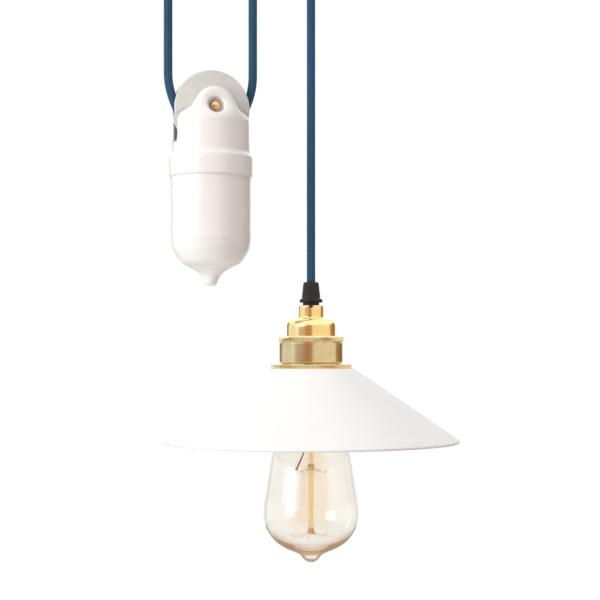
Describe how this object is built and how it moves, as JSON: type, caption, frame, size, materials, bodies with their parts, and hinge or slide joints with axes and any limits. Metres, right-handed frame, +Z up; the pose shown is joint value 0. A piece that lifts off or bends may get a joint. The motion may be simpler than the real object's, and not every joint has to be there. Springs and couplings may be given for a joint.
{
  "type": "rise-and-fall pendant lamp",
  "caption": "Rise-and-fall pendant: braided flex runs round a porcelain counterweight's wheel and over a ceiling wheel to a brass lampholder with a cone shade and a caged-filament bulb.",
  "frame": {"origin": "centre of the ceiling mounting face, midway between the bracket's two screw holes", "axes": "+Z up towards the ceiling, +X from the anchored flex run towards the lamp, wheel axles along Y"},
  "size_m": [0.2197, 0.199, 0.4997],
  "materials": {
    "white_enamel": "matt white enamel",
    "white_porcelain": "satin white glaze",
    "wheel_porcelain": "unglazed fine porcelain",
    "cement": "set cement",
    "zinc_steel": "zinc plated",
    "ballast_iron": "as cast",
    "polished_brass": "polished, lacquered",
    "satin_brass": "satin, slightly aged",
    "brass_screw": "polished, warm",
    "dark_screw": "blued",
    "black_nylon": "moulded, matt",
    "natural_nylon": "moulded",
    "blue_braid": "round braided sleeve",
    "brown_core": "extruded",
    "blue_core": "extruded",
    "green_core": "extruded",
    "bulb_cap_metal": "rolled thread",
    "black_vitrite": "fused glass",
    "solder": "soldered",
    "amber_glass": "clear amber lacquer",
    "stem_glass": "clear",
    "support_wire": "drawn wire",
    "filament_carbon": "carbon, unlit"
  },
  "bodies": {
    "ceiling": {"mounting_bracket": "zinc_steel", "rose_cup": "white_enamel", "rose_screws": "brass_screw", "terminal_block": "natural_nylon", "terminal_block_screws": "zinc_steel", "upper_cord_grip": "black_nylon", "upper_grip_screw": "black_nylon", "upper_grip_nut": "black_nylon", "wheel_fork": "polished_brass", "fork_nut": "zinc_steel", "ceiling_axle": "brass_screw", "ceiling_axle_nut": "brass_screw", "ceiling_axle_washers": "natural_nylon", "flex_ceiling_tail": "blue_braid", "flex_anchor_run": "blue_braid", "flex_ceiling_loop": "blue_braid", "flex_balance_run": "blue_braid", "flex_drop_run": "blue_braid"},
    "upper_pulley": {"ceiling_wheel": "wheel_porcelain", "ceiling_wheel_bush": "satin_brass"},
    "counterweight": {"weight_head": "white_porcelain", "weight_pot": "white_porcelain", "pot_cement": "cement", "ballast": "ballast_iron", "ballast_packing": "cement", "weight_axle": "brass_screw", "weight_axle_nut": "brass_screw", "weight_axle_washers": "natural_nylon", "flex_weight_loop": "blue_braid"},
    "lower_pulley": {"weight_wheel": "wheel_porcelain", "weight_wheel_bush": "satin_brass"},
    "lamp": {"cord_grip": "black_nylon", "grip_screw": "black_nylon", "neck_set_screw": "dark_screw", "holder_cap": "polished_brass", "union_ring": "satin_brass", "holder_barrel": "satin_brass", "shade_disc": "satin_brass", "shade": "white_enamel", "shade_ring": "satin_brass", "insulator": "white_porcelain", "terminal_screws": "brass_screw", "screw_shell": "satin_brass", "centre_contact": "satin_brass", "core_live": "brown_core", "core_neutral": "blue_core", "core_earth": "green_core", "flex_lamp_tail": "blue_braid"},
    "bulb": {"bulb_cap": "bulb_cap_metal", "bulb_insulator": "black_vitrite", "bulb_tip_contact": "solder", "bulb_glass": "amber_glass", "bulb_stem": "stem_glass", "filament_supports": "support_wire", "filament": "filament_carbon", "lead_wires": "support_wire"}
  },
  "joints": [
    {"name": "lamp_rise", "type": "slide", "parent": "ceiling", "child": "lamp", "axis": [0, 0, 1], "range_m": [-0.1, 0.05], "deforming": ["flex_drop_run"]},
    {"name": "weight_travel", "type": "slide", "parent": "ceiling", "child": "counterweight", "axis": [0, 0, 1], "range_m": [-0.026, 0.051], "deforming": ["flex_anchor_run", "flex_balance_run"]},
    {"name": "ceiling_wheel_spin", "type": "hinge", "parent": "ceiling", "child": "upper_pulley", "pos_m": [0.0382, 0, -0.074], "axis": [0, 1, 0], "range_deg": [-145, 288]},
    {"name": "weight_wheel_spin", "type": "hinge", "parent": "counterweight", "child": "lower_pulley", "pos_m": [-0.01015, 0, -0.1983], "axis": [0, 1, 0], "range_deg": [-145, 73]},
    {"name": "bulb_unscrew", "type": "slide", "parent": "lamp", "child": "bulb", "axis": [0, 0, -1], "range_m": [0, 0.04]}
  ],
  "couplings": [
    {"joint": "weight_travel", "follows": "lamp_rise", "ratio": -0.5},
    {"joint": "ceiling_wheel_spin", "follows": "lamp_rise", "rad_per_m": -50},
    {"joint": "weight_wheel_spin", "follows": "lamp_rise", "rad_per_m": 25}
  ]
}
